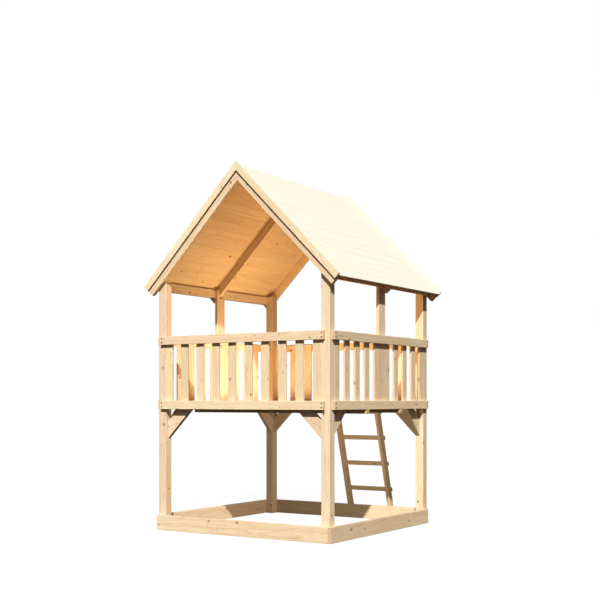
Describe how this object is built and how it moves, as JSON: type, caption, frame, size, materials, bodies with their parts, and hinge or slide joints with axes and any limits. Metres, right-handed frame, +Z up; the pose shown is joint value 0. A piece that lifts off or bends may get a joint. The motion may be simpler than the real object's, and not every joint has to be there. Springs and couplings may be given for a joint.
{
  "type": "play tower",
  "caption": "Wooden play tower on square posts: a platform with slatted railings, a steep boarded gable roof, a sand pit frame at its foot and a ladder leaning against the back.",
  "frame": {"origin": "on the ground, in the middle of the rectangle that the whole tower covers, ladder included", "axes": "+Z up; the front gable faces -Y and the ladder leans against the back at +Y; +X is to the right seen from the front"},
  "size_m": [2.2636, 2.5353, 3.5557],
  "materials": {
    "base_board_back": "planed spruce board, untreated",
    "base_board_front": "planed spruce board, untreated",
    "base_board_left": "planed spruce board, untreated",
    "base_board_right": "planed spruce board, untreated",
    "brace_back_left": "planed spruce, sanded arrises, untreated",
    "brace_back_right": "planed spruce, sanded arrises, untreated",
    "brace_front_left": "planed spruce, sanded arrises, untreated",
    "brace_front_right": "planed spruce, sanded arrises, untreated",
    "brace_left_back": "planed spruce, sanded arrises, untreated",
    "brace_left_front": "planed spruce, sanded arrises, untreated",
    "brace_right_back": "planed spruce, sanded arrises, untreated",
    "brace_right_front": "planed spruce, sanded arrises, untreated",
    "floor_boards": "planed spruce boards, untreated",
    "floor_joist_back": "planed spruce boards, untreated",
    "floor_joist_front": "planed spruce boards, untreated",
    "floor_ledger_back": "planed spruce boards, untreated",
    "floor_ledger_front": "planed spruce boards, untreated",
    "floor_ledger_left": "planed spruce boards, untreated",
    "floor_ledger_right": "planed spruce boards, untreated",
    "ladder_rung_1": "planed spruce, sanded arrises, untreated",
    "ladder_rung_2": "planed spruce, sanded arrises, untreated",
    "ladder_rung_3": "planed spruce, sanded arrises, untreated",
    "ladder_rung_4": "planed spruce, sanded arrises, untreated",
    "ladder_stile_left": "planed spruce, sanded arrises, untreated",
    "ladder_stile_right": "planed spruce, sanded arrises, untreated",
    "lower_rail_back": "planed spruce board, untreated",
    "lower_rail_front": "planed spruce board, untreated",
    "lower_rail_left": "planed spruce board, untreated",
    "lower_rail_right": "planed spruce board, untreated",
    "mid_post_left": "planed spruce, sanded arrises, untreated",
    "mid_post_right": "planed spruce, sanded arrises, untreated",
    "plate_left_back": "planed spruce, sanded arrises, untreated",
    "plate_left_front": "planed spruce, sanded arrises, untreated",
    "plate_right_back": "planed spruce, sanded arrises, untreated",
    "plate_right_front": "planed spruce, sanded arrises, untreated",
    "post_back_left": "planed spruce, sanded arrises, untreated",
    "post_back_right": "planed spruce, sanded arrises, untreated",
    "post_front_left": "planed spruce, sanded arrises, untreated",
    "post_front_right": "planed spruce, sanded arrises, untreated",
    "rafter_back_left": "planed spruce, untreated",
    "rafter_back_right": "planed spruce, untreated",
    "rafter_front_left": "planed spruce, untreated",
    "rafter_front_right": "planed spruce, untreated",
    "rafter_middle_left": "planed spruce, untreated",
    "rafter_middle_right": "planed spruce, untreated",
    "railing_back": "planed spruce slats and rail, untreated",
    "railing_front": "planed spruce slats and rail, untreated",
    "railing_left": "planed spruce slats and rail, untreated",
    "railing_right": "planed spruce slats and rail, untreated",
    "roof_boards_left": "planed spruce, untreated",
    "roof_boards_right": "planed spruce, untreated",
    "verge_board_back_left": "planed spruce, untreated",
    "verge_board_back_right": "planed spruce, untreated",
    "verge_board_front_left": "planed spruce, untreated",
    "verge_board_front_right": "planed spruce, untreated"
  },
  "bodies": {
    "root": {"base_board_back": "base_board_back", "base_board_front": "base_board_front", "base_board_left": "base_board_left", "base_board_right": "base_board_right", "brace_back_left": "brace_back_left", "brace_back_right": "brace_back_right", "brace_front_left": "brace_front_left", "brace_front_right": "brace_front_right", "brace_left_back": "brace_left_back", "brace_left_front": "brace_left_front", "brace_right_back": "brace_right_back", "brace_right_front": "brace_right_front", "floor_boards": "floor_boards", "floor_joist_back": "floor_joist_back", "floor_joist_front": "floor_joist_front", "floor_ledger_back": "floor_ledger_back", "floor_ledger_front": "floor_ledger_front", "floor_ledger_left": "floor_ledger_left", "floor_ledger_right": "floor_ledger_right", "ladder_rung_1": "ladder_rung_1", "ladder_rung_2": "ladder_rung_2", "ladder_rung_3": "ladder_rung_3", "ladder_rung_4": "ladder_rung_4", "ladder_stile_left": "ladder_stile_left", "ladder_stile_right": "ladder_stile_right", "lower_rail_back": "lower_rail_back", "lower_rail_front": "lower_rail_front", "lower_rail_left": "lower_rail_left", "lower_rail_right": "lower_rail_right", "mid_post_left": "mid_post_left", "mid_post_right": "mid_post_right", "plate_left_back": "plate_left_back", "plate_left_front": "plate_left_front", "plate_right_back": "plate_right_back", "plate_right_front": "plate_right_front", "post_back_left": "post_back_left", "post_back_right": "post_back_right", "post_front_left": "post_front_left", "post_front_right": "post_front_right", "rafter_back_left": "rafter_back_left", "rafter_back_right": "rafter_back_right", "rafter_front_left": "rafter_front_left", "rafter_front_right": "rafter_front_right", "rafter_middle_left": "rafter_middle_left", "rafter_middle_right": "rafter_middle_right", "railing_back": "railing_back", "railing_front": "railing_front", "railing_left": "railing_left", "railing_right": "railing_right", "roof_boards_left": "roof_boards_left", "roof_boards_right": "roof_boards_right", "verge_board_back_left": "verge_board_back_left", "verge_board_back_right": "verge_board_back_right", "verge_board_front_left": "verge_board_front_left", "verge_board_front_right": "verge_board_front_right"}
  },
  "joints": []
}
